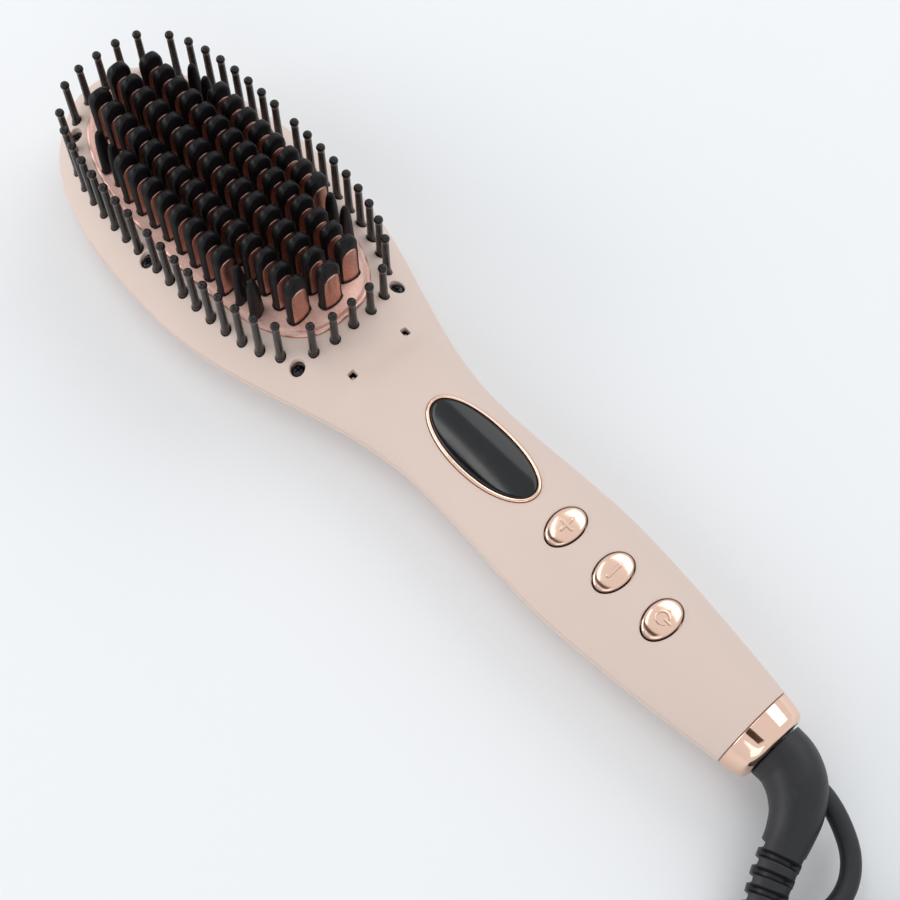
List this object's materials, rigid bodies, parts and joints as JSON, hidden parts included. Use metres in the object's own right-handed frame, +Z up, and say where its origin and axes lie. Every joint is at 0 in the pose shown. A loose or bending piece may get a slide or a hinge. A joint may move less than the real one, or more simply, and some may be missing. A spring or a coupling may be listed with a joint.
{
  "type": "hair straightener brush",
  "caption": "Heated hair straightener brush with a crowned plate of capped fins inside a ring of ball-tipped bristles, a display, sprung keys and a swivelling mains cord.",
  "frame": {"origin": "on the rest plane of the rear shell, under the middle of the bristle field", "axes": "+X from the head to the cord, +Z up out of the bristles, +Y to the left of somebody who looks from the cord to the head"},
  "size_m": [0.4207, 0.1305, 0.0476],
  "materials": {
    "shell": "soft-touch satin",
    "plate": "satin anodised",
    "black": "semi-gloss",
    "cap": "semi-gloss",
    "gold": "mirror plated",
    "lens": "high gloss",
    "ceramic": "sintered",
    "steel": "pressed",
    "sheet": "insulating sheet",
    "screw": "blackened",
    "board": "laminate",
    "parts": "moulded",
    "contact": "spring",
    "lead": "silicone",
    "rubber": "matte",
    "pin": "nickel plated"
  },
  "bodies": {
    "brush": {"front_shell": "shell", "rear_shell": "shell", "pin_frame": "black", "bristle_pins": "black", "heater_plate": "plate", "fin_caps": "cap", "edge_teeth": "cap", "ptc_heater": "ceramic", "heater_clamp": "steel", "clamp_screws": "screw", "heat_shield": "sheet", "thermal_fuse": "ceramic", "temp_sensor": "parts", "heater_leads": "lead", "head_screws": "screw", "display_bezel": "gold", "display_lens": "lens", "display_module": "parts", "control_board": "board", "board_parts": "parts", "tact_switches": "parts", "board_screws": "screw", "ion_module": "parts", "ion_emitters": "steel", "end_ring": "gold", "swivel_socket": "black", "contact_springs": "contact"},
    "key_plus": {"button_plus": "gold"},
    "key_minus": {"button_minus": "gold"},
    "key_power": {"button_power": "gold"},
    "swivel": {"swivel_bush": "black", "slip_rings": "contact", "cord_boot": "rubber", "hang_loop": "rubber", "cord_tube": "rubber", "cord_coil": "rubber", "coil_tie": "black", "plug_body": "rubber", "plug_pins": "pin"}
  },
  "joints": [
    {"name": "key_plus_press", "type": "slide", "parent": "brush", "child": "key_plus", "axis": [0, 0, -1], "range_m": [0, 0.0006], "stiffness_N_per_m": 600},
    {"name": "key_minus_press", "type": "slide", "parent": "brush", "child": "key_minus", "axis": [0, 0, -1], "range_m": [0, 0.0006], "stiffness_N_per_m": 600},
    {"name": "key_power_press", "type": "slide", "parent": "brush", "child": "key_power", "axis": [0, 0, -1], "range_m": [0, 0.0006], "stiffness_N_per_m": 600},
    {"name": "cord_swivel", "type": "hinge", "parent": "brush", "child": "swivel", "pos_m": [0.2116, 0, 0.0138], "axis": [1, 0, 0], "continuous": true}
  ]
}
